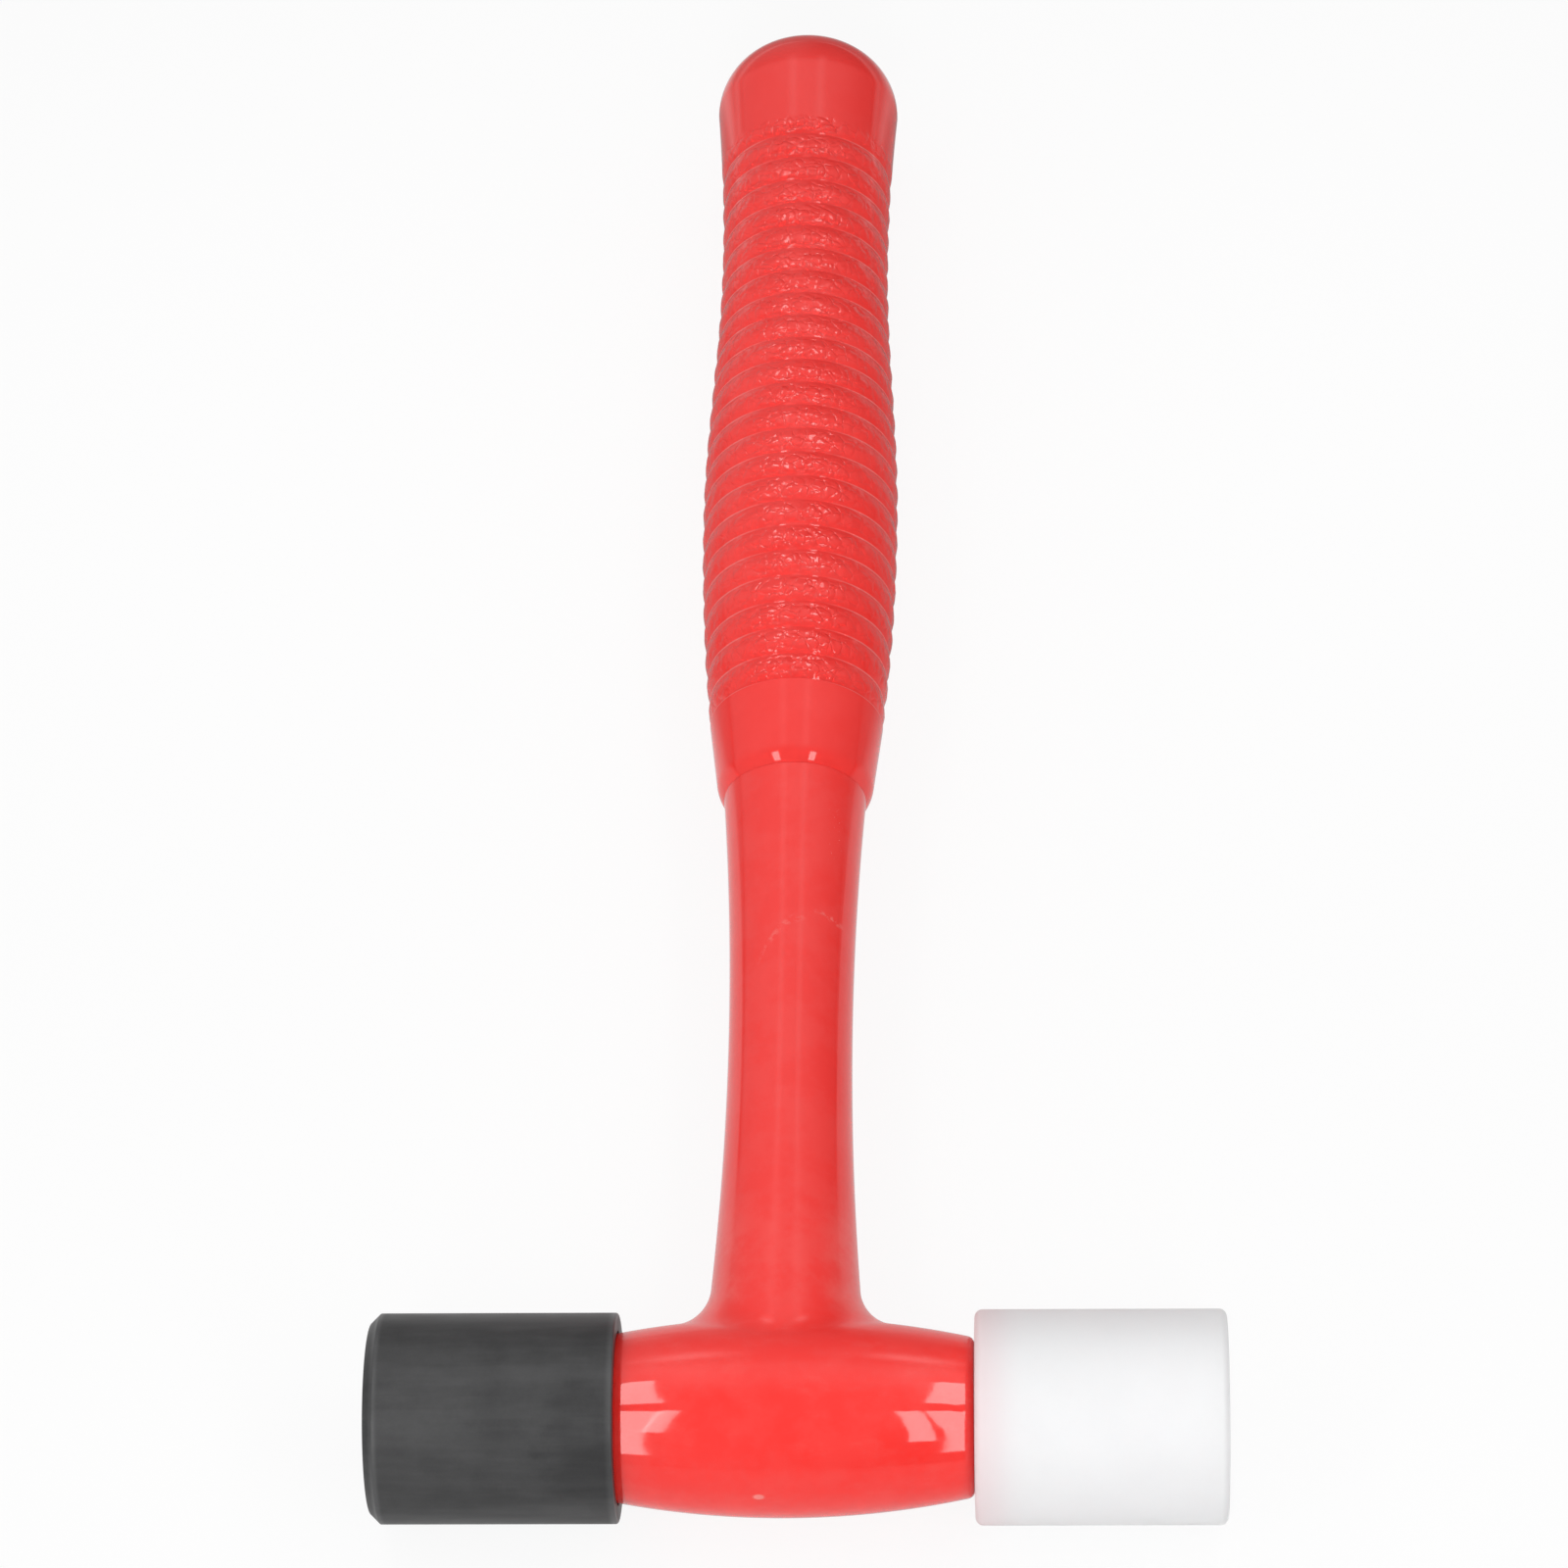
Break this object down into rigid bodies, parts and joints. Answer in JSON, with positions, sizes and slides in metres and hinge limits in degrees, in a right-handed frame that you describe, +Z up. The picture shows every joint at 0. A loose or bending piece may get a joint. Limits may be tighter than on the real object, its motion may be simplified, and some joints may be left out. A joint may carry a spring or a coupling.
{
  "type": "soft face hammer",
  "caption": "Soft face hammer with a red barrel head, screw-in black rubber and white nylon faces, a waisted shank and a ribbed grip sleeve.",
  "frame": {"origin": "centre of the bounding box, on the surface that the hammer lies on", "axes": "+X along the head from the soft black face to the hard white face, +Y along the handle from head to butt, +Z up from the surface that it lies on"},
  "size_m": [0.1194, 0.2622, 0.03],
  "materials": {
    "core_steel": "turned steel",
    "red_moulding": "glossy moulded red plastic",
    "red_grip": "satin red grip plastic with a leather grain on the ribs",
    "black_rubber": "satin black hard rubber",
    "white_nylon": "matt white nylon",
    "stud_steel": "zinc plated threaded steel",
    "washer_steel": "spring steel"
  },
  "bodies": {
    "handle_and_head": {"head_core": "core_steel", "handle_rod": "core_steel", "rod_lock_pin": "core_steel", "body_cover": "red_moulding", "grip_sleeve": "red_grip"},
    "soft_washer": {"soft_face_washer": "washer_steel"},
    "soft_striker": {"soft_face": "black_rubber", "soft_face_stud": "stud_steel"},
    "hard_washer": {"hard_face_washer": "washer_steel"},
    "hard_striker": {"hard_face": "white_nylon", "hard_face_stud": "stud_steel"}
  },
  "joints": [
    {"name": "soft_face_advance", "type": "slide", "parent": "handle_and_head", "child": "soft_washer", "axis": [-1, 0, 0], "range_m": [0, 0.01225]},
    {"name": "soft_face_turn", "type": "hinge", "parent": "soft_washer", "child": "soft_striker", "pos_m": [-0.0421, -0.11605, 0.015], "axis": [-1, 0, 0], "range_deg": [0, 2520]},
    {"name": "hard_face_advance", "type": "slide", "parent": "handle_and_head", "child": "hard_washer", "axis": [1, 0, 0], "range_m": [0, 0.01225]},
    {"name": "hard_face_turn", "type": "hinge", "parent": "hard_washer", "child": "hard_striker", "pos_m": [0.0379, -0.11605, 0.015], "axis": [1, 0, 0], "range_deg": [0, 2520]}
  ],
  "couplings": [
    {"joint": "soft_face_turn", "follows": "soft_face_advance", "rad_per_m": 3590.4},
    {"joint": "hard_face_turn", "follows": "hard_face_advance", "rad_per_m": 3590.4}
  ]
}
